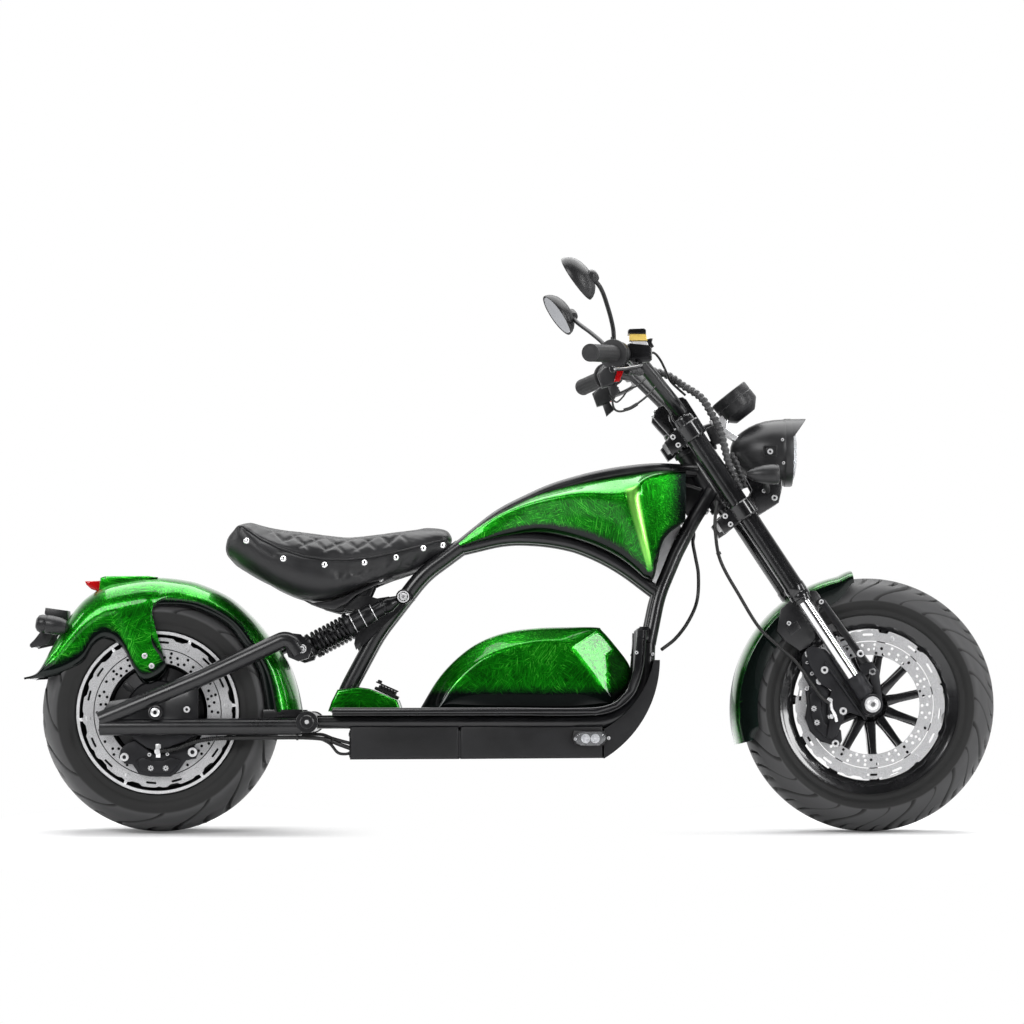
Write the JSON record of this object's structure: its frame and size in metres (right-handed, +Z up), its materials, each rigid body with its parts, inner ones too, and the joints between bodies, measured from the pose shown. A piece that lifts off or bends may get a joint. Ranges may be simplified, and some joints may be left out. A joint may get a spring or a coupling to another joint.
{
  "type": "seated electric scooter",
  "caption": "Low seated electric scooter with fat tyres, hub motor, raked sprung fork, stepped seat, foot deck and side stand, parked on its stand.",
  "frame": {"origin": "bottom centre of the bounding box, on the floor the scooter stands on", "axes": "+X forward, +Y to the rider's left, +Z up; the machine leans 3 degrees to the left on its side stand"},
  "size_m": [1.9539, 0.7684, 1.1523],
  "materials": {
    "green_paint": "deep green flake lacquer under a clear coat",
    "frame_black": "satin black powder coat",
    "black_alloy": "gloss black anodised",
    "dark_alloy": "dark cast metal, painted",
    "motor_alloy": "black motor casting with a polished rim",
    "disc_steel": "ground stainless",
    "bright_steel": "bright plated",
    "chrome": "polished hard chrome",
    "spring_steel": "dark lacquered spring and damper",
    "tyre": "moulded rubber",
    "seat_leather": "black leatherette, fine grain",
    "grip_rubber": "ribbed soft rubber",
    "hose_rubber": "matt rubber and spiral wrap",
    "deck_plastic": "grained black plastic",
    "battery_case": "fine-textured black coating",
    "black_plastic": "moulded black plastic",
    "black_gloss": "glossy black shell",
    "clear_lens": "clear lamp lens",
    "red_lens": "red lamp lens",
    "mirror_glass": "silvered mirror glass and small windows"
  },
  "bodies": {
    "frame": {"head_tube": "frame_black", "top_tubes": "frame_black", "arch_tubes": "frame_black", "down_tubes": "frame_black", "seat_tubes": "frame_black", "deck_frame": "frame_black", "swingarm": "frame_black", "rear_spindles": "bright_steel", "shocks": "spring_steel", "foot_deck": "deck_plastic", "battery_box": "battery_case", "front_shroud": "battery_case", "battery_cover": "green_paint", "rear_cover": "green_paint", "charge_port": "black_plastic", "tank": "green_paint", "seat": "seat_leather", "seat_bracket": "frame_black", "rear_fender": "green_paint", "tail_lamp": "black_plastic", "plate_holder": "black_plastic", "marker_lamps": "black_plastic", "rear_caliper": "dark_alloy", "frame_hoses": "hose_rubber"},
    "steering": {"fork_clamps": "black_alloy", "fork_tubes": "black_alloy", "fork_stanchions": "chrome", "fork_feet": "dark_alloy", "front_axle": "bright_steel", "handlebar": "frame_black", "grips": "grip_rubber", "grip_collars": "grip_rubber", "switch_pods": "black_plastic", "brake_levers": "dark_alloy", "mirrors": "black_plastic", "gauge": "black_plastic", "headlamp": "black_gloss", "headlamp_lens": "clear_lens", "lamp_bracket": "black_alloy", "front_indicators": "black_plastic", "front_fender": "green_paint", "fender_stays": "frame_black", "front_caliper": "dark_alloy", "steering_hoses": "hose_rubber"},
    "front_wheel": {"front_tyre": "tyre", "front_rim": "black_alloy", "front_disc": "disc_steel"},
    "rear_wheel": {"rear_tyre": "tyre", "rear_hub_motor": "motor_alloy", "rear_disc": "disc_steel"},
    "side_stand": {"side_stand": "frame_black"}
  },
  "joints": [
    {"name": "steering", "type": "hinge", "parent": "frame", "child": "steering", "pos_m": [0.39182, -0.012, 0.7092], "axis": [-0.549, 0.0437, 0.8347], "range_deg": [-35, 35]},
    {"name": "front_wheel_spin", "type": "hinge", "parent": "steering", "child": "front_wheel", "pos_m": [0.721, -0.03575, 0.25605], "axis": [0, 0.9986, -0.0523], "continuous": true},
    {"name": "rear_wheel_spin", "type": "hinge", "parent": "frame", "child": "rear_wheel", "pos_m": [-0.709, -0.03659, 0.24007], "axis": [0, 0.9986, -0.0523], "continuous": true},
    {"name": "side_stand", "type": "hinge", "parent": "frame", "child": "side_stand", "pos_m": [-0.697, 0.11238, 0.17819], "axis": [0.1261, 0.9121, 0.39], "range_deg": [0, 104]}
  ]
}
